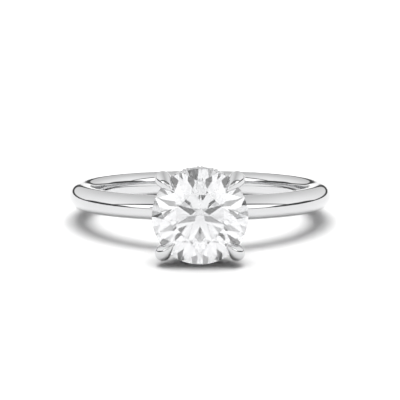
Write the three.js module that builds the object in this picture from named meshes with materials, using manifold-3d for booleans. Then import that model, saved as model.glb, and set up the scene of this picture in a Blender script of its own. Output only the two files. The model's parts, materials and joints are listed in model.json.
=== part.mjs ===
// An engagement ring: one round brilliant held by four talon claws above a hidden halo of small
// stones, on a plain shank of round wire. Millimetres, +Z up. The ring lies on its side, as it is
// put down on a table: the stone faces -Y, and the halo's lowest rim and the back of the shank
// touch the table at z = 0. The origin is on the table under the middle of the ring's box.
import * as THREE from "three";
import { mergeVertices } from "three/addons/utils/BufferGeometryUtils.js";
import Module from "manifold-3d";

const wasm = await Module();
wasm.setup();

// Shank. The finger hole is US size 6, and the wire is very slightly oval.
const FINGER_HOLE = 16.5;
const WIRE_THICK = 1.9; // across the wire, from the finger outwards
const WIRE_WIDE = 1.85; // across the wire, along the finger
const WIRE_INSIDE_SQUARENESS = 3.4; // exponent of the section's inner half; 2 would be round
const SHANK_STEPS = 72;
const WIRE_SIDES = 16;

// Centre stone, a round brilliant. Its cut is given as shares of its diameter, as gemmologists do.
const STONE_DIAMETER = 6.95;
const GIRDLE_FROM_FINGER_AXIS = 14.0; // middle of the girdle
const TABLE_SHARE = 0.53;
const GIRDLE_SHARE = 0.03;
const STAR_SHARE = 0.5; // how far the star facets reach from the table's edge to the girdle
const LOWER_HALF_SHARE = 0.785; // how far the lower halves reach from the girdle to the culet
const CROWN_ANGLE = THREE.MathUtils.degToRad(34.5);
const PAVILION_ANGLE = THREE.MathUtils.degToRad(40.04);
const FACET_FOLD = 8; // main facets round the stone
const GIRDLE_SIDES = 64;

// Claws: round wire that flares from the base, thickens beside the girdle and ends in a talon.
const CLAW_COUNT = 4;
const CLAW_WIRE_FOOT = 0.42; // radii of the wire
const CLAW_WIRE_LEG = 0.47;
const CLAW_WIRE_SHOULDER = 0.585;
const CLAW_WIRE_TIP = 0.03;
const CLAW_FOOT_OUT = 0.72; // the wire's middle at its foot, from the stone's axis
const CLAW_SHOULDER_OUT = 3.79; // the same beside the girdle
const CLAW_TIP_OUT = 2.66; // where the point rests on the crown
const CLAW_TIP_UP = 0.72; // above the girdle's middle
const CLAW_STEPS = 20;
const CLAW_SIDES = 12;

// Hidden halo: a rail under the girdle with a row of small stones between each pair of claws.
const HALO_OUTSIDE = 3.31;
const HALO_INSIDE = 2.68;
const HALO_HEIGHT = 1.1; // along the stone's axis
const HALO_BELOW_GIRDLE = 1.4; // from the girdle's middle to the rail's middle
const HALO_STEPS = 60;
const RAIL_CHAMFER = 0.08;
const SMALL_STONE_DIAMETER = 0.94;
const SMALL_STONE_EDGE = 0.02; // half of its girdle
const SMALL_STONE_CROWN = 0.13; // height of the table above the girdle's middle
const SMALL_STONE_PAVILION = 0.4; // depth of the culet
const SMALL_STONES_PER_SIDE = 4;
const HALO_PITCH = THREE.MathUtils.degToRad(18); // from one small stone to the next
const BEAD_RADIUS = 0.15;
const BEAD_FROM_ROW = 0.42; // the beads stand in two rows, each side of the row of stones
const BEAD_FROM_GAP = 0.14; // and in pairs, each side of the gap between two stones

// Head base: the small cup that joins the claws' feet, with a peg that sits in the shank.
const BASE_RADIUS = 1.2;
const BASE_TOP = 0.42; // above the outside of the shank
const BASE_SKIRT = 0.6; // how far the cup wraps down round the shank
const PEG_RADIUS = 0.45;
const PEG_DEPTH = 1.1;
const HEAD_SIDES = 20;

const SOLDER_GAP = 0.03; // between a piece and the seat cut for it

const wireRadius = WIRE_THICK / 2;
const shankRadius = FINGER_HOLE / 2 + wireRadius; // to the middle of the wire
const shankOutside = shankRadius + wireRadius;
const stoneRadius = STONE_DIAMETER / 2;
const halfGirdle = (STONE_DIAMETER * GIRDLE_SHARE) / 2;
const facetStep = (2 * Math.PI) / FACET_FOLD;
const crownSlope = Math.tan(CROWN_ANGLE);
const pavilionSlope = Math.tan(PAVILION_ANGLE);
const shankTopBelowGirdle = GIRDLE_FROM_FINGER_AXIS - shankOutside;

const METAL = { color: 0xd9dadb, roughness: 0.08, metalness: 1 };
const DIAMOND = { color: 0xf4f6f8, roughness: 0, metalness: 0 };

// Solids for cutting and joining.

function toSolid(geometry) {
  const bare = geometry.clone();
  bare.deleteAttribute("normal");
  bare.deleteAttribute("uv");
  const merged = mergeVertices(bare, 1e-4);
  return new wasm.Manifold(
    new wasm.Mesh({
      numProp: 3,
      vertProperties: new Float32Array(merged.attributes.position.array),
      triVerts: new Uint32Array(merged.index.array),
    }),
  );
}

function toGeometry(solid) {
  const { vertProperties, triVerts } = solid.getMesh();
  const geometry = new THREE.BufferGeometry();
  geometry.setAttribute("position", new THREE.BufferAttribute(vertProperties, 3));
  geometry.setIndex(new THREE.BufferAttribute(triVerts, 1));
  geometry.computeVertexNormals();
  return geometry;
}

// A lathed piece stands on the Y axis, so it is laid over to stand on the stone's axis, Z.
function lathed(points, sides) {
  return new THREE.LatheGeometry(points, sides).rotateX(Math.PI / 2);
}

function profile(...pairs) {
  return pairs.map(([out, along]) => new THREE.Vector2(out, along));
}

function polar(out, turn, along) {
  return new THREE.Vector3(out * Math.cos(turn), out * Math.sin(turn), along);
}

// Shank, round the Z axis in its own group. Its section is round outside and flatter inside, so that
// it sits comfortably on the finger.

function shankGeometry(grow = 0) {
  const section = [];
  for (let i = 0; i <= WIRE_SIDES; i++) {
    const turn = (2 * Math.PI * i) / WIRE_SIDES;
    const power = Math.cos(turn) < 0 ? 2 / WIRE_INSIDE_SQUARENESS : 1;
    const out = Math.sign(Math.cos(turn)) * Math.abs(Math.cos(turn)) ** power;
    const along = Math.sign(Math.sin(turn)) * Math.abs(Math.sin(turn)) ** power;
    section.push(
      new THREE.Vector2(shankRadius + (wireRadius + grow) * out, (WIRE_WIDE / 2 + grow) * along),
    );
  }
  section[WIRE_SIDES].copy(section[0]);
  return lathed(section, SHANK_STEPS);
}

// Centre stone, with the middle of its girdle at the origin and its table towards +Z.

// Everything beyond a plane through three points of a facet, as one big block.
function beyond(a, b, c, reach) {
  const plane = new THREE.Plane().setFromCoplanarPoints(a, b, c);
  if (plane.distanceToPoint(new THREE.Vector3()) > 0) plane.negate();
  const block = new THREE.BoxGeometry(2 * reach, 2 * reach, reach).translate(0, 0, reach / 2);
  const facing = new THREE.Quaternion().setFromUnitVectors(new THREE.Vector3(0, 0, 1), plane.normal);
  block.applyQuaternion(facing);
  const foot = plane.projectPoint(new THREE.Vector3(), new THREE.Vector3());
  return toSolid(block.translate(foot.x, foot.y, foot.z));
}

function brilliantSolid() {
  const halfStep = facetStep / 2;
  const tableOut = stoneRadius * TABLE_SHARE;
  const tableUp = halfGirdle + (stoneRadius - tableOut) * crownSlope;
  const tableEdge = tableOut * Math.cos(halfStep);
  const starOut = tableEdge + STAR_SHARE * (stoneRadius - tableEdge);
  const starUp = halfGirdle + (stoneRadius - starOut * Math.cos(halfStep)) * crownSlope;
  const foldOut = stoneRadius * (1 - LOWER_HALF_SHARE);
  const foldUp = -halfGirdle - (stoneRadius - foldOut * Math.cos(halfStep)) * pavilionSlope;
  const reach = 2 * STONE_DIAMETER;

  const blank = new THREE.CylinderGeometry(stoneRadius, stoneRadius, reach, GIRDLE_SIDES);
  let stone = toSolid(blank.rotateX(Math.PI / 2).rotateZ(facetStep / 2));
  const grind = (a, b, c) => {
    stone = stone.subtract(beyond(a, b, c, reach));
  };
  grind(polar(1, 0, tableUp), polar(1, 2, tableUp), polar(1, 4, tableUp));
  for (let i = 0; i < FACET_FOLD; i++) {
    const main = (i + 0.5) * facetStep; // the main facets lie each side of the claws
    const aside = polar(1, main + Math.PI / 2, 0);
    const crownEdge = polar(stoneRadius, main, halfGirdle);
    const pavilionEdge = polar(stoneRadius, main, -halfGirdle);
    grind(crownEdge, polar(tableOut, main, tableUp), crownEdge.clone().add(aside));
    const culet = new THREE.Vector3(0, 0, -halfGirdle - stoneRadius * pavilionSlope);
    grind(pavilionEdge, culet, pavilionEdge.clone().add(aside));
    const nextTable = polar(tableOut, main + facetStep, tableUp);
    grind(polar(tableOut, main, tableUp), nextTable, polar(starOut, main + halfStep, starUp));
    for (const side of [-halfStep, halfStep]) {
      const half = main + side;
      grind(crownEdge, polar(stoneRadius, half, halfGirdle), polar(starOut, half, starUp));
      grind(pavilionEdge, polar(stoneRadius, half, -halfGirdle), polar(foldOut, half, foldUp));
    }
  }
  return stone;
}

// Plain round form of the centre stone, a little larger, that cuts the claws' seats.
function stoneSeatSolid() {
  const out = stoneRadius + SOLDER_GAP;
  const edge = halfGirdle + SOLDER_GAP;
  const tableOut = out * TABLE_SHARE;
  const points = profile(
    [0, -edge - out * pavilionSlope],
    [out, -edge],
    [out, edge],
    [tableOut, edge + (out - tableOut) * crownSlope],
    [0, edge + (out - tableOut) * crownSlope],
  );
  return toSolid(lathed(points, GIRDLE_SIDES));
}

// Claws. A straight lathed wire is bent along a curve in the X-Z plane and cut for the stone.

function clawCurve() {
  const foot = -shankTopBelowGirdle;
  const at = (out, along) => new THREE.Vector3(out, 0, along);
  return new THREE.CatmullRomCurve3([
    at(CLAW_FOOT_OUT, foot - 0.12), // a little way into the base
    at(CLAW_FOOT_OUT + 0.63, foot + 0.62),
    at(CLAW_SHOULDER_OUT - 1.34, foot + 1.6), // the leg flares
    at(CLAW_SHOULDER_OUT - 0.37, -1.3),
    at(CLAW_SHOULDER_OUT, -0.5), // the shoulder
    at(CLAW_SHOULDER_OUT - 0.14, CLAW_TIP_UP - 0.52), // the hook turns over the crown
    at(CLAW_TIP_OUT + 0.56, CLAW_TIP_UP - 0.14),
    at(CLAW_TIP_OUT, CLAW_TIP_UP),
  ]);
}

// Radius of the wire at a share of the claw's length, by straight runs between these stations.
const CLAW_TAPER = [
  [0, CLAW_WIRE_FOOT],
  [0.5, CLAW_WIRE_LEG],
  [0.7, CLAW_WIRE_SHOULDER],
  [0.8, CLAW_WIRE_SHOULDER],
  [0.9, CLAW_WIRE_SHOULDER * 0.67],
  [1, CLAW_WIRE_TIP],
];

function clawRadius(share) {
  const next = CLAW_TAPER.findIndex(([at]) => at >= share);
  if (next <= 0) return CLAW_TAPER[0][1];
  const [from, thin] = CLAW_TAPER[next - 1];
  const [to, thick] = CLAW_TAPER[next];
  return THREE.MathUtils.mapLinear(share, from, to, thin, thick);
}

function clawGeometry(grow = 0) {
  const curve = clawCurve();
  const wire = [new THREE.Vector2(0, 0)];
  for (let i = 0; i <= CLAW_STEPS; i++) {
    const share = i / CLAW_STEPS;
    wire.push(new THREE.Vector2(clawRadius(share) + grow, share));
  }
  wire.push(new THREE.Vector2(0, 1));
  const geometry = new THREE.LatheGeometry(wire, CLAW_SIDES);
  const across = new THREE.Vector3(0, 1, 0);
  const spots = geometry.attributes.position;
  for (let i = 0; i < spots.count; i++) {
    const share = THREE.MathUtils.clamp(spots.getY(i), 0, 1);
    const side = curve.getTangentAt(share).cross(across).normalize();
    const spot = curve.getPointAt(share);
    spot.addScaledVector(side, spots.getX(i)).addScaledVector(across, spots.getZ(i));
    spots.setXYZ(i, spot.x, spot.y, spot.z);
  }
  return geometry;
}

const clawTurn = (i) => ((i + 0.5) * 2 * Math.PI) / CLAW_COUNT;

// Halo, round the stone's axis.

function smallStoneGeometry(grow = 0) {
  const out = SMALL_STONE_DIAMETER / 2 + grow;
  const edge = SMALL_STONE_EDGE + grow;
  const up = SMALL_STONE_CROWN + grow;
  const down = -SMALL_STONE_PAVILION - grow;
  const points = profile([0, down], [out, -edge], [out, edge], [out * TABLE_SHARE, up], [0, up]);
  return lathed(points, FACET_FOLD);
}

// Turns a piece that stands on +Z so that it faces outwards, and puts it on the halo's rail.
function onHalo(geometry, turn, aside = 0, along = 0, out = HALO_OUTSIDE) {
  return geometry
    .rotateY(Math.PI / 2)
    .translate(out, aside, along - HALO_BELOW_GIRDLE)
    .rotateZ(turn);
}

function smallStoneTurns() {
  const turns = [];
  for (let side = 0; side < CLAW_COUNT; side++)
    for (let i = 0; i < SMALL_STONES_PER_SIDE; i++) {
      const fromMiddle = i - (SMALL_STONES_PER_SIDE - 1) / 2;
      turns.push((side * 2 * Math.PI) / CLAW_COUNT + fromMiddle * HALO_PITCH);
    }
  return turns;
}

function haloSolid(claws) {
  const low = -HALO_BELOW_GIRDLE - HALO_HEIGHT / 2;
  const high = -HALO_BELOW_GIRDLE + HALO_HEIGHT / 2;
  const ring = profile(
    [HALO_INSIDE, low],
    [HALO_OUTSIDE - RAIL_CHAMFER, low],
    [HALO_OUTSIDE, low + RAIL_CHAMFER],
    [HALO_OUTSIDE, high - RAIL_CHAMFER],
    [HALO_OUTSIDE - RAIL_CHAMFER, high],
    [HALO_INSIDE + RAIL_CHAMFER, high],
    [HALO_INSIDE, high - RAIL_CHAMFER],
    [HALO_INSIDE, low],
  );
  let rail = toSolid(lathed(ring, HALO_STEPS));
  for (const turn of smallStoneTurns())
    for (const row of [-BEAD_FROM_ROW, BEAD_FROM_ROW])
      for (const side of [-1, 1]) {
        const aside = side * (HALO_PITCH * HALO_OUTSIDE / 2 - BEAD_FROM_GAP);
        const bead = new THREE.IcosahedronGeometry(BEAD_RADIUS, 0);
        rail = rail.add(toSolid(onHalo(bead, turn, aside, row)));
      }
  for (const turn of smallStoneTurns())
    rail = rail.subtract(toSolid(onHalo(smallStoneGeometry(SOLDER_GAP / 2), turn)));
  for (const claw of claws) rail = rail.subtract(claw);
  return rail;
}

// Head base, on the stone's axis, hollowed under the culet.

function baseSolid(claws, shank) {
  const foot = -shankTopBelowGirdle;
  const cup = profile(
    [0, foot - PEG_DEPTH],
    [PEG_RADIUS, foot - PEG_DEPTH],
    [PEG_RADIUS, foot - BASE_SKIRT],
    [BASE_RADIUS * 0.8, foot - BASE_SKIRT],
    [BASE_RADIUS, foot + BASE_TOP * 0.5],
    [BASE_RADIUS * 0.9, foot + BASE_TOP],
    [BASE_RADIUS * 0.5, foot + BASE_TOP * 0.75],
    [0, foot + BASE_TOP * 0.6],
  );
  const peg = profile(
    [0, foot - PEG_DEPTH],
    [PEG_RADIUS, foot - PEG_DEPTH],
    [PEG_RADIUS, foot],
    [0, foot],
  );
  const whole = toSolid(lathed(cup, HEAD_SIDES)).subtract(shank);
  let base = whole.add(toSolid(lathed(peg, HEAD_SIDES)));
  for (const claw of claws) base = base.subtract(claw);
  return base;
}

// Assembly.

function mesh(name, geometry, finish) {
  const piece = new THREE.Mesh(geometry, new THREE.MeshStandardMaterial(finish));
  piece.name = name;
  return piece;
}

// The head stands on the shank with the stone's axis along -Y, so X stays X and the finger's axis
// is the head's Y. This is the same turn for a cutter that goes from the shank to the head.
const headGroup = new THREE.Group();
headGroup.rotation.x = Math.PI / 2;
headGroup.position.y = -GIRDLE_FROM_FINGER_AXIS;
headGroup.updateMatrix();
const toHead = headGroup.matrix.clone().invert();

const clawNames = ["claw_upper_right", "claw_upper_left", "claw_lower_left", "claw_lower_right"];
const seat = stoneSeatSolid();
const shankCutter = toSolid(shankGeometry(SOLDER_GAP).applyMatrix4(toHead));
const clawCutters = clawNames.map((_, i) => toSolid(clawGeometry(SOLDER_GAP).rotateZ(clawTurn(i))));

headGroup.add(mesh("centre_stone", toGeometry(brilliantSolid()), DIAMOND));
clawNames.forEach((name, i) => {
  const claw = toSolid(clawGeometry().rotateZ(clawTurn(i))).subtract(seat).subtract(shankCutter);
  headGroup.add(mesh(name, toGeometry(claw), METAL));
});
headGroup.add(mesh("halo_rail", toGeometry(haloSolid(clawCutters)), METAL));
headGroup.add(mesh("head_base", toGeometry(baseSolid(clawCutters, shankCutter)), METAL));
smallStoneTurns().forEach((turn, i) => {
  const number = String(i + 1).padStart(2, "0");
  headGroup.add(mesh(`halo_stone_${number}`, onHalo(smallStoneGeometry(), turn), DIAMOND));
});

const pegHole = new THREE.CylinderGeometry(
  PEG_RADIUS + SOLDER_GAP,
  PEG_RADIUS + SOLDER_GAP,
  2 * (PEG_DEPTH + SOLDER_GAP),
  HEAD_SIDES,
).translate(0, -shankOutside, 0);
const shank = toSolid(shankGeometry()).subtract(toSolid(pegHole));

const ring = new THREE.Group();
ring.add(mesh("shank", toGeometry(shank), METAL));
ring.add(headGroup);

// Laid on the table: the tilt at which the halo's lower rim and the back of the shank are level.
const rimOut = HALO_OUTSIDE + BEAD_RADIUS;
const rimForward = GIRDLE_FROM_FINGER_AXIS - HALO_BELOW_GIRDLE - BEAD_FROM_ROW;
const span = rimForward + shankRadius;
const tilt = Math.atan2(rimOut, span) - Math.asin(WIRE_WIDE / 2 / Math.hypot(span, rimOut));
ring.rotation.x = -tilt;

const engagementRing = new THREE.Group();
engagementRing.add(ring);
const box = new THREE.Box3().setFromObject(engagementRing, true);
const middle = box.getCenter(new THREE.Vector3());
ring.position.set(-middle.x, -middle.y, -box.min.z);

export default engagementRing;
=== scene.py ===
"""An engagement ring: a round brilliant in four talon claws over a hidden halo, on a polished shank.

Every piece is drawn in millimetres in the ring's own frame or the head's, and then laid on the
table by one matrix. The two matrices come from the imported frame, and so do the main sizes.
"""

import json
import math

import bmesh
import bpy
from bpy.props import FloatProperty, FloatVectorProperty, IntProperty, PointerProperty
from mathutils import Matrix, Vector
from mathutils.geometry import interpolate_bezier


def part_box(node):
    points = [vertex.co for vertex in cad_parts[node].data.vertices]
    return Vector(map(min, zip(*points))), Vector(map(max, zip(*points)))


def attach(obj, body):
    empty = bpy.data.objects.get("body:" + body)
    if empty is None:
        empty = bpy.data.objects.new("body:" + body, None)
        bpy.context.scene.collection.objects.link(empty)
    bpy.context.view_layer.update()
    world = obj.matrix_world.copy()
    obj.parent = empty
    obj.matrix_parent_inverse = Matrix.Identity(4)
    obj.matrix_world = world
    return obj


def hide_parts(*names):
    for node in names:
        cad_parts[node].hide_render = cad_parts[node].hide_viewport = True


bl_info = {
    "name": "Engagement ring",
    "version": (1, 0, 0),
    "blender": (4, 5, 0),
    "location": "View3D > Sidebar > Ring",
    "description": "Builds a claw-set solitaire ring with a hidden halo round its packed frame",
    "category": "Object",
}

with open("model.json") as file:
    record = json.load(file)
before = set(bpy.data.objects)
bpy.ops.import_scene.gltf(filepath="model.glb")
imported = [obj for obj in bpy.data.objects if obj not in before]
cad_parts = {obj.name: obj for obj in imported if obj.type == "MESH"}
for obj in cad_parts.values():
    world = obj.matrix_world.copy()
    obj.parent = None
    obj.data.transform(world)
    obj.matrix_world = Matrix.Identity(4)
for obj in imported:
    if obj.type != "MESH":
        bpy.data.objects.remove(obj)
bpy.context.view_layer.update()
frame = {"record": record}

MM = 0.001
FULL_TURN = 2 * math.pi
BODY = "root"


def mount(name):
    """A mount's place and direction in the row frame."""
    found = next(m for m in frame["record"]["mounts"] if m["name"] == name)
    return Vector(found["pos_m"]), Vector(found["axis"]).normalized()


def node_width(node):
    """How wide a CAD node is across the ring, in millimetres."""
    low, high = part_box(node)
    return (high.x - low.x) / MM


RING_CENTRE, FINGER_AXIS = mount("finger_hole")
TABLE_CENTRE, STONE_AXIS = mount("stone_table")
ACROSS = Vector((1, 0, 0))

SHANK_OUTSIDE = node_width("shank") / 2
STONE_RADIUS = node_width("centre_stone") / 2
TABLE_HEIGHT = (TABLE_CENTRE - RING_CENTRE).length / MM  # from the finger's axis


def placed(x_axis, y_axis, z_axis, origin):
    """Matrix that takes a drawing in millimetres to its place in the row frame, in metres."""
    turn = Matrix((x_axis, y_axis, z_axis)).transposed().to_4x4()
    return Matrix.Translation(origin) @ turn @ Matrix.Scale(MM, 4)


# The ring's frame: Z along the finger, and the stone towards -Y.
RING_FRAME = placed(ACROSS, -STONE_AXIS, FINGER_AXIS, RING_CENTRE)


# ---------------------------------------------------------------- sizes and colours


class RingShank(bpy.types.PropertyGroup):
    """Sizes of the wire that the shank is bent from, in millimetres."""

    thick: FloatProperty(
        name="Thickness", description="Across the wire, from the finger outwards, in mm", default=1.9
    )
    wide: FloatProperty(name="Width", description="Across the wire, along the finger, in mm", default=1.85)
    squareness: FloatProperty(
        name="Squareness", description="Exponent of the section's inner half; 2 is round", default=3.4
    )


class RingStone(bpy.types.PropertyGroup):
    """The cut of the brilliants, as gemmologists state it."""

    table: FloatProperty(
        name="Table", description="Table's width as a share of the stone's", default=0.53, subtype="FACTOR"
    )
    girdle: FloatProperty(
        name="Girdle", description="Girdle's height as a share of the width", default=0.03, subtype="FACTOR"
    )
    star: FloatProperty(
        name="Stars", description="Reach of the star facets across the crown", default=0.5, subtype="FACTOR"
    )
    lower_half: FloatProperty(
        name="Lower halves", description="Reach of the lower halves towards the culet",
        default=0.785, subtype="FACTOR",
    )
    crown_angle: FloatProperty(
        name="Crown angle", description="Slope of the main crown facets",
        default=math.radians(34.5), subtype="ANGLE",
    )
    pavilion_angle: FloatProperty(
        name="Pavilion angle", description="Slope of the main pavilion facets",
        default=math.radians(40.04), subtype="ANGLE",
    )
    # Painted shade: this body colour is greyer than a real diamond's, to dim the table and tent, which are
    # lit brighter than white, as seen through the stones.
    water_and_painted_shade: FloatVectorProperty(
        name="Water", description="The stones' body colour", subtype="COLOR", default=(0.785, 0.79, 0.8)
    )
    bending: FloatProperty(name="Refraction", description="The stones' index of refraction", default=2.417)


class RingClaw(bpy.types.PropertyGroup):
    """Sizes of the claws, in millimetres."""

    foot: FloatProperty(name="Foot", description="Radius of the wire at the base, in mm", default=0.42)
    foot_out: FloatProperty(
        name="Foot's place", description="Wire's middle at the base, from the stone's axis, in mm",
        default=0.72,
    )
    foot_sunk: FloatProperty(
        name="Foot's depth", description="How far the wire goes into the base, in mm", default=0.12
    )
    shoulder: FloatProperty(name="Shoulder", description="Radius beside the girdle, in mm", default=0.585)
    shoulder_out: FloatProperty(
        name="Stand-out", description="Wire's middle beside the girdle, from the stone's axis, in mm",
        default=3.79,
    )
    tip_out: FloatProperty(
        name="Tip", description="Where the point rests on the crown, from the stone's axis, in mm",
        default=2.66,
    )
    tip_up: FloatProperty(name="Tip height", description="Above the girdle's middle, in mm", default=0.72)


class RingHalo(bpy.types.PropertyGroup):
    """Sizes of the hidden halo, in millimetres."""

    outside: FloatProperty(name="Outside", description="Outer radius of the rail, in mm", default=3.31)
    inside: FloatProperty(name="Inside", description="Inner radius of the rail, in mm", default=2.68)
    height: FloatProperty(name="Height", description="Along the stone's axis, in mm", default=1.1)
    below: FloatProperty(name="Below girdle", description="Girdle to the rail's middle, in mm", default=1.4)
    stone: FloatProperty(name="Stones", description="Diameter of a small stone, in mm", default=0.94)
    per_side: IntProperty(name="Per side", description="Small stones between two claws", default=4)
    pitch: FloatProperty(
        name="Pitch", description="Turn from one small stone to the next",
        default=math.radians(18), subtype="ANGLE",
    )
    bead: FloatProperty(name="Beads", description="Radius of a bead, in mm", default=0.15)
    bead_row: FloatProperty(
        name="Bead rows", description="From the row of stones to a row of beads, in mm", default=0.42
    )
    bead_gap: FloatProperty(
        name="Bead pairs", description="From a bead to the middle of the gap between stones, in mm",
        default=0.14,
    )
    stand: FloatProperty(
        name="Stand", description="Height of a small stone's table above the rail, in mm", default=0.13
    )


class RingMetal(bpy.types.PropertyGroup):
    """Finish of the white gold."""

    # Partly the metal's own colour, partly painted shade: darker than real polished white gold, to offset
    # the table and tent lit brighter than white.
    colour: FloatVectorProperty(
        name="Metal", description="Colour of the polished metal", subtype="COLOR",
        default=(0.645, 0.647, 0.653),
    )
    roughness: FloatProperty(
        name="Polish", description="Roughness left by the last polish", default=0.035, subtype="FACTOR"
    )


class RingStage(bpy.types.PropertyGroup):
    """Camera, table and light."""

    distance: FloatProperty(
        name="Distance", description="Camera to the middle of the shank", default=0.203, unit="LENGTH"
    )
    above: FloatProperty(
        name="Elevation", description="Camera above the plane of the shank",
        default=math.radians(6.4), subtype="ANGLE",
    )
    view_angle: FloatProperty(
        name="View", description="Angle that the picture takes in", default=math.radians(8.722),
        subtype="ANGLE",
    )
    aim_below: FloatProperty(
        name="Aim", description="How far the camera aims below the shank's middle",
        default=0.00039, unit="LENGTH",
    )
    table_top: FloatVectorProperty(
        name="Table", description="Colour of the table", subtype="COLOR", default=(0.9, 0.9, 0.9)
    )
    overhead: FloatProperty(name="Overhead", description="Power of the overhead light", default=11.4)
    overhead_radius: FloatProperty(
        name="Overhead radius", description="Radius of the overhead light", default=0.5, unit="LENGTH"
    )
    fill: FloatProperty(name="Fill", description="Power of the wide fill light", default=17.0)
    fill_radius: FloatProperty(
        name="Fill radius", description="Radius of the wide fill light", default=1.6, unit="LENGTH"
    )
    tent: FloatProperty(name="Tent", description="Brightness of the light tent", default=1.2)


# ---------------------------------------------------------------- shader graphs


class Wire:
    """A value in a shader graph. Sums and products of wires add Math nodes."""

    def __init__(self, graph, socket):
        self.graph = graph
        self.socket = socket

    def _math(self, operation, first, second):
        return self.graph.node("ShaderNodeMath", {"operation": operation}, {0: first, 1: second})

    def __add__(self, other):
        return self._math("ADD", self, other)

    def __radd__(self, other):
        return self._math("ADD", other, self)

    def __rsub__(self, other):
        return self._math("SUBTRACT", other, self)

    def __mul__(self, other):
        return self._math("MULTIPLY", self, other)

    def __rmul__(self, other):
        return self._math("MULTIPLY", other, self)

    def __truediv__(self, other):
        return self._math("DIVIDE", self, other)

    def __abs__(self):
        return self.graph.node("ShaderNodeMath", {"operation": "ABSOLUTE"}, {0: self})


class Graph:
    """A node tree that is built from Python."""

    def __init__(self, owner):
        owner.use_nodes = True
        self.tree = owner.node_tree
        self.tree.nodes.clear()

    def node(self, kind, settings=None, inputs=None, output=0):
        """Adds a node: its settings first, then values or wires for its sockets. Returns one output."""
        made = self.tree.nodes.new(kind)
        for key, value in (settings or {}).items():
            setattr(made, key, value)
        for key, value in (inputs or {}).items():
            if isinstance(value, Wire):
                self.tree.links.new(value.socket, made.inputs[key])
            else:
                made.inputs[key].default_value = value
        return Wire(self, made.outputs[output]) if made.outputs else made

    def between(self, value, low, high, start=0.0, end=1.0):
        """A smooth run from start, where value is low, to end, where it is high."""
        return self.node(
            "ShaderNodeMapRange",
            {"interpolation_type": "SMOOTHSTEP"},
            {"Value": value, "From Min": low, "From Max": high, "To Min": start, "To Max": end},
        )

    def mix(self, share, first, second):
        """A number that is first where share is 0 and second where it is 1."""
        return first * (1 - share) + second * share


def polished_metal():
    """Mirror-polished white gold, with the faint haze and hairlines that a polishing wheel leaves."""
    finish = bpy.context.scene.ring_metal
    material = bpy.data.materials.new("polished_white_gold")
    graph = Graph(material)
    place = graph.node("ShaderNodeTexCoord", output="Object")
    haze = graph.node("ShaderNodeTexNoise", {}, {"Vector": place, "Scale": 260.0, "Detail": 3.0})
    stretched = graph.node(
        "ShaderNodeMapping", {}, {"Vector": place, "Scale": (900.0, 900.0, 9000.0)}
    )
    hairlines = graph.node("ShaderNodeTexNoise", {}, {"Vector": stretched, "Scale": 1.0, "Detail": 2.0})
    # the colour is partly painted shade, darker than real white gold to offset the over-bright table and
    # tent; the haze varies it at random
    colour = Vector(finish.colour)
    tint = graph.node(
        "ShaderNodeMix",
        {"data_type": "RGBA"},
        {
            "Factor": graph.between(haze, 0.35, 0.65),
            "A": (*(colour * 0.985), 1),
            "B": (*(colour * 1.015), 1),
        },
        output=2,
    )
    bump = graph.node(
        "ShaderNodeBump", {}, {"Strength": 0.012, "Distance": 0.00002, "Height": hairlines}
    )
    shader = graph.node(
        "ShaderNodeBsdfPrincipled",
        {},
        {
            "Base Color": tint,
            "Metallic": 1.0,
            "Roughness": finish.roughness * (0.7 + 0.6 * haze),
            "Normal": bump,
        },
    )
    graph.node("ShaderNodeOutputMaterial", {}, {"Surface": shader})
    return material


def diamond(name, roughness):
    """Clear diamond, polished on the facets or ground on the girdle."""
    cut = bpy.context.scene.ring_stone
    material = bpy.data.materials.new(name)
    graph = Graph(material)
    place = graph.node("ShaderNodeTexCoord", output="Object")
    cloud = graph.node("ShaderNodeTexNoise", {}, {"Vector": place, "Scale": 400.0, "Detail": 2.0})
    # the grey body colour is painted shade that dims the over-bright table and tent in the stones; the
    # cloud varies it at random
    water_and_painted_shade = Vector(cut.water_and_painted_shade)
    tint = graph.node(
        "ShaderNodeMix",
        {"data_type": "RGBA"},
        {"Factor": graph.between(cloud, 0.3, 0.7), "A": (*(water_and_painted_shade * 0.995), 1), "B": (*water_and_painted_shade, 1)},
        output=2,
    )
    shader = graph.node(
        "ShaderNodeBsdfPrincipled",
        {},
        {
            "Base Color": tint,
            "Roughness": roughness,
            "IOR": cut.bending,
            "Transmission Weight": 1.0,
        },
    )
    graph.node("ShaderNodeOutputMaterial", {}, {"Surface": shader})
    return material


def table_paint():
    """The pale table, matt, with a barely visible mottle."""
    stage = bpy.context.scene.ring_stage
    material = bpy.data.materials.new("pale_table")
    graph = Graph(material)
    place = graph.node("ShaderNodeTexCoord", output="Object")
    mottle = graph.node("ShaderNodeTexNoise", {}, {"Vector": place, "Scale": 30.0, "Detail": 4.0})
    base = Vector(stage.table_top)
    tint = graph.node(
        "ShaderNodeMix",
        {"data_type": "RGBA"},
        {"Factor": mottle, "A": (*(base * 0.997), 1), "B": (*(base * 1.003), 1)},
        output=2,
    )
    shader = graph.node(
        "ShaderNodeBsdfPrincipled", {}, {"Base Color": tint, "Roughness": 1.0, "Specular IOR Level": 0.0}
    )
    graph.node("ShaderNodeOutputMaterial", {}, {"Surface": shader})
    return material


MATERIALS = {}


def finish_of(name):
    """Each finish is made once and shared."""
    makers = {
        "metal": polished_metal,
        "facets": lambda: diamond("diamond_facets", 0.0),
        "girdle": lambda: diamond("diamond_girdle", 0.25),
    }
    if name not in MATERIALS:
        MATERIALS[name] = makers[name]()
    return MATERIALS[name]


# ---------------------------------------------------------------- working the metal


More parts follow.
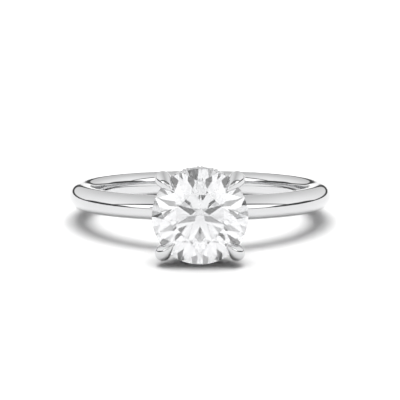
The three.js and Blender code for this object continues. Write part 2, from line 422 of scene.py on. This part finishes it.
def set_piece(name, bm, place, finishes, nodes, crease=math.radians(28)):
    """Turns a drawing into a finished piece that rides on the ring and stands for its CAD nodes."""
    bmesh.ops.remove_doubles(bm, verts=bm.verts[:], dist=1e-5)
    bmesh.ops.recalc_face_normals(bm, faces=bm.faces[:])
    for face in bm.faces:
        face.smooth = crease > 0
    for edge in bm.edges:
        edge.smooth = edge.calc_face_angle(0) < crease
    mesh = bpy.data.meshes.new(name)
    bm.to_mesh(mesh)
    bm.free()
    mesh.transform(place)
    for finish in finishes:
        mesh.materials.append(finish_of(finish))
    piece = bpy.data.objects.new(name, mesh)
    bpy.context.scene.collection.objects.link(piece)
    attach(piece, BODY)
    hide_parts(*nodes)
    return piece


def carve(bm, cutter):
    """Takes the cutter's shape out of a drawing, by a Boolean modifier that is applied at once."""
    made = []
    for name, shape in (("work", bm), ("cutter", cutter)):
        mesh = bpy.data.meshes.new(name)
        shape.to_mesh(mesh)
        shape.free()
        made.append(bpy.data.objects.new(name, mesh))
        bpy.context.scene.collection.objects.link(made[-1])
    work, tool = made
    boolean = work.modifiers.new("carve", "BOOLEAN")
    boolean.operation = "DIFFERENCE"
    boolean.solver = "EXACT"
    boolean.object = tool
    bpy.context.view_layer.update()
    carved = bpy.data.meshes.new_from_object(work.evaluated_get(bpy.context.evaluated_depsgraph_get()))
    result = bmesh.new()
    result.from_mesh(carved)
    for piece in made:
        leftover = piece.data
        bpy.data.objects.remove(piece)
        bpy.data.meshes.remove(leftover)
    bpy.data.meshes.remove(carved)
    return result


def turned(points, steps):
    """A profile of (out, along) points turned round the Z axis, as on a lathe."""
    bm = bmesh.new()
    verts = [bm.verts.new((out, 0, along)) for out, along in points]
    edges = [bm.edges.new(pair) for pair in zip(verts, verts[1:])]
    if points[0][0] > 0 and points[-1][0] > 0:
        edges.append(bm.edges.new((verts[-1], verts[0])))
    bmesh.ops.spin(
        bm, geom=verts + edges, cent=(0, 0, 0), axis=(0, 0, 1), dvec=(0, 0, 0),
        angle=FULL_TURN, steps=steps, use_merge=True, use_duplicate=False,
    )
    bmesh.ops.remove_doubles(bm, verts=bm.verts[:], dist=1e-5)
    bmesh.ops.recalc_face_normals(bm, faces=bm.faces[:])
    return bm


def rounded(corners, ease, steps=4):
    """The points of a closed outline whose corners are rounded by a radius."""
    points = []
    for i, corner in enumerate(corners):
        here = Vector(corner)
        before = (Vector(corners[i - 1]) - here).normalized() * ease
        after = (Vector(corners[(i + 1) % len(corners)]) - here).normalized() * ease
        for k in range(steps + 1):
            t = k / steps
            points.append(here + before * (1 - t) ** 2 + after * t**2)
    return [tuple(p) for p in points]


def polar(out, turn, along=0.0):
    return Vector((out * math.cos(turn), out * math.sin(turn), along))


# ---------------------------------------------------------------- shank


def shank_drawing():
    """A section that is round outside and flatter towards the finger, spun once round its axis."""
    sizes = bpy.context.scene.ring_shank
    middle = SHANK_OUTSIDE - sizes.thick / 2
    points = 56
    section = []
    for i in range(points):
        turn = FULL_TURN * i / points
        out, along = math.cos(turn), math.sin(turn)
        if out < 0:
            out = -abs(out) ** (2 / sizes.squareness)
            along = math.copysign(abs(along) ** (2 / sizes.squareness), along)
        section.append((middle + sizes.thick / 2 * out, sizes.wide / 2 * along))
    return turned(section, 288)


# ---------------------------------------------------------------- stones


def grind(bm, a, b, c):
    """Grinds one flat facet through three points and caps it."""
    normal = (b - a).cross(c - a).normalized()
    if normal.dot(a) < 0:
        normal.negate()
    cut = bmesh.ops.bisect_plane(
        bm, geom=bm.verts[:] + bm.edges[:] + bm.faces[:], dist=1e-5,
        plane_co=a, plane_no=normal, clear_outer=True,
    )
    rim = [e for e in cut["geom_cut"] if isinstance(e, bmesh.types.BMEdge) and e.is_boundary]
    if rim:
        bmesh.ops.contextual_create(bm, geom=rim)


def brilliant_drawing(radius, sides):
    """A round brilliant with its girdle's middle at the origin and its table towards +Z."""
    cut = bpy.context.scene.ring_stone
    step = FULL_TURN / 8
    crown_slope = math.tan(cut.crown_angle)
    pavilion_slope = math.tan(cut.pavilion_angle)
    edge = radius * cut.girdle
    table_out = radius * cut.table
    table_up = edge + (radius - table_out) * crown_slope
    table_flat = table_out * math.cos(step / 2)
    star_out = table_flat + cut.star * (radius - table_flat)
    star_up = edge + (radius - star_out * math.cos(step / 2)) * crown_slope
    fold_out = radius * (1 - cut.lower_half)
    fold_up = -edge - (radius - fold_out * math.cos(step / 2)) * pavilion_slope
    culet = Vector((0, 0, -edge - radius * pavilion_slope))
    bm = bmesh.new()
    bmesh.ops.create_cone(
        bm, cap_ends=True, segments=sides, radius1=radius, radius2=radius, depth=4 * radius
    )
    grind(bm, polar(radius, 0, table_up), polar(radius, 2, table_up), polar(radius, 4, table_up))
    for i in range(8):
        main = (i + 0.5) * step  # the main facets lie each side of the claws
        aside = polar(1, main + math.pi / 2)
        crown_edge = polar(radius, main, edge)
        pavilion_edge = polar(radius, main, -edge)
        grind(bm, crown_edge, polar(table_out, main, table_up), crown_edge + aside)
        grind(bm, pavilion_edge, culet, pavilion_edge + aside)
    for i in range(8):
        main = (i + 0.5) * step
        star = polar(star_out, main + step / 2, star_up)
        grind(bm, polar(table_out, main, table_up), polar(table_out, main + step, table_up), star)
        for half in (main - step / 2, main + step / 2):
            crown_edge = polar(radius, main, edge)
            pavilion_edge = polar(radius, main, -edge)
            grind(bm, crown_edge, polar(radius, half, edge), polar(star_out, half, star_up))
            grind(bm, pavilion_edge, polar(radius, half, -edge), polar(fold_out, half, fold_up))
    for face in bm.faces:
        face.material_index = 1 if abs(face.normal.z) < 0.1 else 0
    return bm, table_up


def seat_drawing(radius, room):
    """A plain round form of a stone, a little larger, that cuts its seat."""
    cut = bpy.context.scene.ring_stone
    out = radius + room
    edge = radius * cut.girdle + room
    table_out = out * cut.table
    top = edge + (out - table_out) * math.tan(cut.crown_angle)
    bottom = -edge - out * math.tan(cut.pavilion_angle)
    return turned([(0, bottom), (out, -edge), (out, edge), (table_out, top), (0, top)], 96)


def head_frame():
    """The head's frame: Z along the stone's axis, with the girdle's middle at the origin."""
    cut = bpy.context.scene.ring_stone
    table_up = STONE_RADIUS * (cut.girdle + (1 - cut.table) * math.tan(cut.crown_angle))
    origin = TABLE_CENTRE - STONE_AXIS * table_up * MM
    return placed(ACROSS, FINGER_AXIS, STONE_AXIS, origin), TABLE_HEIGHT - table_up


# ---------------------------------------------------------------- claws


CLAW_NAMES = ("claw_upper_right", "claw_upper_left", "claw_lower_left", "claw_lower_right")
CLAW_LEG_STATIONS = 30
CLAW_HOOK_STATIONS = 26
CLAW_POINT = 0.02  # radius of the wire where it ends, in mm
SEAT_ROOM = 0.012  # between a claw and the centre stone, in mm
RAIL_ROOM = 0.015  # between a claw and the halo's rail, in mm


def claw_turn(i):
    return (i + 0.5) * FULL_TURN / len(CLAW_NAMES)


def claw_drawing(grow=0.0):
    """A wire that flares up from the base, thickens by the girdle and hooks over it to a point."""
    sizes = bpy.context.scene.ring_claw
    girdle_height = head_frame()[1]
    foot = SHANK_OUTSIDE - girdle_height
    out, tip = sizes.shoulder_out, sizes.tip_out
    shoulder = Vector((out, 0, -0.45))  # the widest place, a little below the girdle
    point = Vector((tip, 0, sizes.tip_up))
    leg = interpolate_bezier(
        Vector((sizes.foot_out, 0, foot - sizes.foot_sunk)), Vector((1.7, 0, foot + 1.1)),
        Vector((out - 0.15, 0, -1.6)), shoulder, CLAW_LEG_STATIONS,
    )
    hook = interpolate_bezier(
        shoulder, Vector((out + 0.08, 0, 0.2)), point + Vector((0.6, 0, 0)), point, CLAW_HOOK_STATIONS
    )
    stations = []
    for i, spot in enumerate(leg[:-1]):
        share = i / (len(leg) - 1)
        swell = share**3
        stations.append((spot, sizes.foot + (sizes.shoulder - sizes.foot) * swell))
    for spot in hook:
        reach = max(0.0, min(1.0, (spot.x - tip) / (out - tip)))
        stations.append((spot, max(CLAW_POINT, sizes.shoulder * reach**0.85)))
    bm = bmesh.new()
    ring = bmesh.ops.create_circle(bm, cap_ends=True, radius=1.0, segments=32)["verts"]
    edges = [e for e in bm.edges]
    for i, (spot, radius) in enumerate(stations):
        before = stations[max(0, i - 1)][0]
        after = stations[min(len(stations) - 1, i + 1)][0]
        lean = math.atan2(after.x - before.x, after.z - before.z)
        place = Matrix.Translation(spot) @ Matrix.Rotation(lean, 4, "Y") @ Matrix.Scale(radius + grow, 4)
        if i > 0:
            grown = bmesh.ops.extrude_edge_only(bm, edges=edges)["geom"]
            ring = [g for g in grown if isinstance(g, bmesh.types.BMVert)]
            edges = [g for g in grown if isinstance(g, bmesh.types.BMEdge)]
            bmesh.ops.transform(bm, matrix=place @ last.inverted(), verts=ring)
        else:
            bmesh.ops.transform(bm, matrix=place, verts=ring)
        last = place
    bmesh.ops.contextual_create(bm, geom=edges)
    bmesh.ops.recalc_face_normals(bm, faces=bm.faces[:])
    return bm


# ---------------------------------------------------------------- halo and base


def small_stone_turns():
    """Where the small stones sit round the stone's axis."""
    halo = bpy.context.scene.ring_halo
    for side in range(len(CLAW_NAMES)):
        for i in range(halo.per_side):
            from_middle = i - (halo.per_side - 1) / 2
            yield side * FULL_TURN / len(CLAW_NAMES) + from_middle * halo.pitch


def on_halo(turn, aside=0.0, along=0.0):
    """Matrix that stands a drawing on the halo's rail, facing outwards."""
    halo = bpy.context.scene.ring_halo
    shift = Matrix.Translation((halo.outside, aside, along - halo.below))
    return Matrix.Rotation(turn, 4, "Z") @ shift @ Matrix.Rotation(math.pi / 2, 4, "Y")


def joined(drawings):
    """Several drawings as one."""
    whole = bmesh.new()
    for drawing in drawings:
        mesh = bpy.data.meshes.new("part")
        drawing.to_mesh(mesh)
        drawing.free()
        whole.from_mesh(mesh)
        bpy.data.meshes.remove(mesh)
    return whole


def moved(bm, matrix):
    bmesh.ops.transform(bm, matrix=matrix, verts=bm.verts[:])
    return bm


def halo_drawing():
    """The rail, with a seat cut for each small stone and for each claw, and its raised beads."""
    halo = bpy.context.scene.ring_halo
    low = -halo.below - halo.height / 2
    high = -halo.below + halo.height / 2
    corners = [(halo.inside, low), (halo.outside, low), (halo.outside, high), (halo.inside, high)]
    rail = turned(rounded(corners, 0.1), 192)
    small = halo.stone / 2
    seat = [(0, -0.42), (small + 0.01, -0.03), (small + 0.01, 0.3), (0, 0.3)]
    cutters = [moved(turned(seat, 32), on_halo(turn)) for turn in small_stone_turns()]
    for i in range(len(CLAW_NAMES)):
        cutters.append(moved(claw_drawing(RAIL_ROOM), Matrix.Rotation(claw_turn(i), 4, "Z")))
    rail = carve(rail, joined(cutters))
    beads = []
    half_gap = halo.pitch * halo.outside / 2
    for turn in small_stone_turns():
        for row in (-halo.bead_row, halo.bead_row):
            for side in (-1, 1):
                bead = bmesh.new()
                bmesh.ops.create_icosphere(bead, subdivisions=3, radius=halo.bead)
                beads.append(moved(bead, on_halo(turn, side * (half_gap - halo.bead_gap), row)))
    return joined([rail] + beads)


def base_drawing():
    """The cup on top of the shank that the claws rise from."""
    foot = SHANK_OUTSIDE - head_frame()[1]
    cup = [
        (0, foot - 1.1), (0.45, foot - 1.1), (0.45, foot - 0.6), (0.96, foot - 0.55), (1.1, foot - 0.1),
        (1.2, foot + 0.21), (1.17, foot + 0.33), (1.08, foot + 0.42), (0.9, foot + 0.4),
        (0.6, foot + 0.3), (0, foot + 0.25),
    ]
    return turned(cup, 96)


# ---------------------------------------------------------------- operators


class RING_OT_shank(bpy.types.Operator):
    """Bends the shank from round wire"""

    bl_idname = "ring.bend_shank"
    bl_label = "Bend the shank"

    def execute(self, context):
        set_piece("polished_shank", shank_drawing(), RING_FRAME, ["metal"], ["shank"])
        return {"FINISHED"}


class RING_OT_base(bpy.types.Operator):
    """Turns the head's base on the shank"""

    bl_idname = "ring.turn_base"
    bl_label = "Turn the head base"

    def execute(self, context):
        place = head_frame()[0]
        set_piece("polished_head_base", base_drawing(), place, ["metal"], ["head_base"])
        return {"FINISHED"}


class RING_OT_claws(bpy.types.Operator):
    """Draws the four claws and cuts their seats for the stone"""

    bl_idname = "ring.draw_claws"
    bl_label = "Draw the claws"

    def execute(self, context):
        place = head_frame()[0]
        for i, name in enumerate(CLAW_NAMES):
            claw = moved(claw_drawing(), Matrix.Rotation(claw_turn(i), 4, "Z"))
            claw = carve(claw, seat_drawing(STONE_RADIUS, SEAT_ROOM))
            set_piece("polished_" + name, claw, place, ["metal"], [name])
        return {"FINISHED"}


class RING_OT_halo(bpy.types.Operator):
    """Makes the hidden halo's rail, with its seats and beads"""

    bl_idname = "ring.pierce_halo"
    bl_label = "Pierce the halo rail"

    def execute(self, context):
        place = head_frame()[0]
        set_piece("polished_halo_rail", halo_drawing(), place, ["metal"], ["halo_rail"])
        return {"FINISHED"}


class RING_OT_centre_stone(bpy.types.Operator):
    """Cuts the centre stone facet by facet"""

    bl_idname = "ring.cut_centre_stone"
    bl_label = "Cut the centre stone"

    def execute(self, context):
        stone, _ = brilliant_drawing(STONE_RADIUS, 96)
        finishes = ["facets", "girdle"]
        place = head_frame()[0]
        set_piece("brilliant_centre", stone, place, finishes, ["centre_stone"], 0)
        return {"FINISHED"}


class RING_OT_small_stones(bpy.types.Operator):
    """Cuts the small stones of the hidden halo"""

    bl_idname = "ring.cut_small_stones"
    bl_label = "Cut the small stones"

    def execute(self, context):
        halo = context.scene.ring_halo
        place = head_frame()[0]
        for i, turn in enumerate(small_stone_turns(), 1):
            stone, top = brilliant_drawing(halo.stone / 2, 32)
            node = f"halo_stone_{i:02d}"
            sunk = place @ on_halo(turn) @ Matrix.Translation((0, 0, halo.stand - top))
            set_piece(f"brilliant_{node}", stone, sunk, ["facets", "girdle"], [node], 0)
        return {"FINISHED"}


class RING_OT_stage(bpy.types.Operator):
    """Sets the table, the light and the camera"""

    bl_idname = "ring.set_stage"
    bl_label = "Set the stage"

    def execute(self, context):
        stage = context.scene.ring_stage
        lay_table()
        hang_light("overhead", stage.overhead, stage.overhead_radius, OVERHEAD_HEIGHT)
        hang_light("fill", stage.fill, stage.fill_radius, FILL_HEIGHT)
        put_up_tent(context.scene, stage)
        place_camera(context.scene, stage)
        context.scene.view_settings.view_transform = "Standard"
        context.scene.cycles.max_bounces = 40
        context.scene.cycles.glossy_bounces = 32
        context.scene.cycles.transmission_bounces = 32
        return {"FINISHED"}


OVERHEAD_HEIGHT = 1.0  # metres above the table
FILL_HEIGHT = 1.2
TABLE_REACH = 3.0

# Cards on stands between the ring and the tent's front wall, seven dark and one white. Each has its
# left, right, low and high edge, as tangents of the angles seen from the ring, and its brightness.
TENT_CARDS = (
    (-0.52, -0.37, 0.1, 0.45, 0.05),
    (0.37, 0.52, 0.05, 0.45, 0.05),
    (-0.25, -0.105, 0.045, 0.11, 0.07),
    (0.105, 0.185, 0.045, 0.11, 0.07),
    (-1.0, -0.72, 0.29, 0.43, 0.03),
    (0.3, 0.5, 0.62, 0.8, 0.03),
    (-0.5, -0.3, 0.55, 0.71, 1.0),
    (-0.8, 0.8, 1.15, 1.7, 0.05),
)
CARD_EDGE = 0.01  # softness of a card's edges, each way


def lay_table():
    """A wide flat table top, level with the lowest point of the ring."""
    bm = bmesh.new()
    bmesh.ops.create_grid(bm, x_segments=8, y_segments=8, size=TABLE_REACH)
    mesh = bpy.data.meshes.new("table")
    bm.to_mesh(mesh)
    bm.free()
    mesh.materials.append(table_paint())
    table = bpy.data.objects.new("table", mesh)
    bpy.context.scene.collection.objects.link(table)


def hang_light(name, power, radius, height):
    """A round soft light that looks straight down. It isn't seen in the metal or the stones."""
    lamp = bpy.data.lights.new(name, "AREA")
    lamp.shape = "DISK"
    lamp.size = 2 * radius
    lamp.energy = power
    light = bpy.data.objects.new(name, lamp)
    light.location = (0, 0, height)
    light.visible_glossy = False
    light.visible_transmission = False
    bpy.context.scene.collection.objects.link(light)


def put_up_tent(scene, stage):
    """The light tent that the metal and the stones mirror, as brightness by direction."""
    world = bpy.data.worlds.new("light_tent")
    scene.world = world
    graph = Graph(world)
    direction = graph.node("ShaderNodeTexCoord", output="Generated")
    parts = {}
    for axis in "XYZ":
        parts[axis] = graph.node("ShaderNodeSeparateXYZ", {}, {0: direction}, output="XYZ".index(axis))
    across, up, ahead = parts["X"], parts["Z"], 0 - parts["Y"]
    aside = abs(across)
    # the cloth: brighter at the sides than overhead and at the back
    cloth = 0.58 + 0.52 * aside
    # the dark gap between the table and the cloth, all round, and higher at the sides
    side = graph.between(aside, 0.85, 0.95)
    gap = graph.between(up, -0.01, 0.015)
    gap = gap * graph.between(up, 0.065 + 0.09 * side, 0.10 + 0.14 * side, 1.0, 0.0)
    # the wall of the tent that the stone faces, as a flat picture: how far aside and how high
    toward = graph.node("ShaderNodeMath", {"operation": "MAXIMUM"}, {0: ahead, 1: 0.001})
    slide, rise = across / toward, up / toward
    far = graph.between(abs(slide), 0.8, 1.1)
    facing = graph.between(ahead, 0.0, 0.04)
    # the wide soft box on that wall, lower and softer in the middle, and the dark gap above it
    top = graph.between(across, -0.4, 0.4, 1.06, 1.2) * graph.between(abs(slide), 0.3, 0.9, 0.6, 1.0)
    box = graph.between(rise, 0.08, 0.14) * graph.between(rise / top, 0.97, 1.03, 1.0, 0.0) * facing
    above = graph.between(rise / top, 0.97, 1.03)
    above = above * graph.between(rise / top, 1.3 + 0.2 * far, 1.45 + 0.25 * far, 1.0, 0.0)
    # the dark corners where the soft box meets the cloth
    corner = graph.between(aside, 0.955, 0.975) * graph.between(ahead, -0.13, -0.06)
    corner = corner * graph.between(up, 0.17, 0.23, 1.0, 0.0)
    light = graph.mix(above * facing, cloth, 0.05)
    light = graph.mix(corner, light, 0.05)
    light = graph.mix(box, light, 1.07 + 0.38 * far)
    light = graph.mix(gap, light, 0.07 + 0.36 * (1 - far) * facing)
    for left, right, low, high, brightness in TENT_CARDS:
        card = facing
        for place, edge, start in ((slide, left, 0), (slide, right, 1), (rise, low, 0), (rise, high, 1)):
            card = card * graph.between(place, edge - CARD_EDGE, edge + CARD_EDGE, start, 1 - start)
        light = graph.mix(card, light, brightness)
    shade = graph.node(
        "ShaderNodeBackground", {}, {"Color": (1, 1, 1, 1), "Strength": light * stage.tent}
    )
    graph.node("ShaderNodeOutputWorld", {}, {"Surface": shade})
    world.cycles_visibility.diffuse = False


def place_camera(scene, stage):
    """A long lens in front of the stone, a little above the plane of the shank."""
    lens = bpy.data.cameras.new("camera")
    lens.angle = stage.view_angle
    lens.clip_start = 0.01
    camera = bpy.data.objects.new("camera", lens)
    outwards = STONE_AXIS * math.cos(stage.above) + FINGER_AXIS * math.sin(stage.above)
    upwards = FINGER_AXIS * math.cos(stage.above) - STONE_AXIS * math.sin(stage.above)
    camera.location = RING_CENTRE + outwards * stage.distance
    aim = RING_CENTRE - upwards * stage.aim_below
    camera.rotation_euler = (aim - camera.location).to_track_quat("-Z", "Y").to_euler()
    scene.collection.objects.link(camera)
    scene.camera = camera


# ---------------------------------------------------------------- panel and registration


GROUPS = (
    ("ring_shank", RingShank, "Shank"),
    ("ring_stone", RingStone, "Stones"),
    ("ring_claw", RingClaw, "Claws"),
    ("ring_halo", RingHalo, "Halo"),
    ("ring_metal", RingMetal, "Metal"),
    ("ring_stage", RingStage, "Stage"),
)
STEPS = (
    RING_OT_shank,
    RING_OT_base,
    RING_OT_claws,
    RING_OT_halo,
    RING_OT_centre_stone,
    RING_OT_small_stones,
    RING_OT_stage,
)


class RING_PT_panel(bpy.types.Panel):
    """Lists the ring's sizes and the steps that build it"""

    bl_idname = "RING_PT_panel"
    bl_label = "Engagement ring"
    bl_space_type = "VIEW_3D"
    bl_region_type = "UI"
    bl_category = "Ring"

    def draw(self, context):
        for attribute, group, title in GROUPS:
            box = self.layout.box()
            box.label(text=title)
            for name in group.__annotations__:
                box.prop(getattr(context.scene, attribute), name)
        for step in STEPS:
            self.layout.operator(step.bl_idname)


def register():
    for attribute, group, _ in GROUPS:
        bpy.utils.register_class(group)
        setattr(bpy.types.Scene, attribute, PointerProperty(type=group))
    for step in STEPS:
        bpy.utils.register_class(step)
    bpy.utils.register_class(RING_PT_panel)


def unregister():
    bpy.utils.unregister_class(RING_PT_panel)
    for step in reversed(STEPS):
        bpy.utils.unregister_class(step)
    for attribute, group, _ in reversed(GROUPS):
        delattr(bpy.types.Scene, attribute)
        bpy.utils.unregister_class(group)


def main():
    """Builds the whole ring."""
    register()
    for step in STEPS:
        group, name = step.bl_idname.split(".")
        getattr(getattr(bpy.ops, group), name)()
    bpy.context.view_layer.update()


if __name__ == "__main__":
    main()
